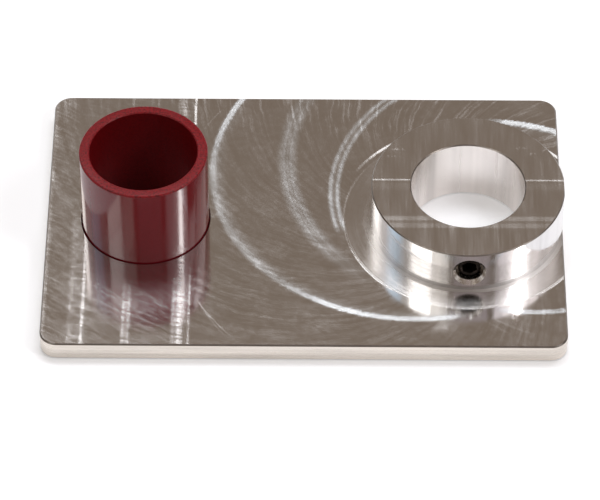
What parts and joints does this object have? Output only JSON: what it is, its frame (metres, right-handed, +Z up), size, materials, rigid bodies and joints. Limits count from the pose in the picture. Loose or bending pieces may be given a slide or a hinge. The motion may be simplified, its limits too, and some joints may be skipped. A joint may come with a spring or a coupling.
{
  "type": "machined mounting block",
  "caption": "Milled aluminium plate with an integral round collar, a set screw through the collar's wall, and a glossy plastic guide sleeve standing in a second through bore.",
  "frame": {"origin": "centre of the plate's flat underside, in the plane it stands on", "axes": "+X along the plate's length from the sleeve to the collar, +Y away from the set screw, +Z up along both bores"},
  "size_m": [0.15, 0.1, 0.0335],
  "materials": {
    "aluminium": "milled",
    "garnet_plastic": "glossy",
    "black_steel": "black oxide"
  },
  "bodies": {
    "root": {"block": "aluminium", "sleeve": "garnet_plastic", "set_screw": "black_steel"}
  },
  "joints": []
}
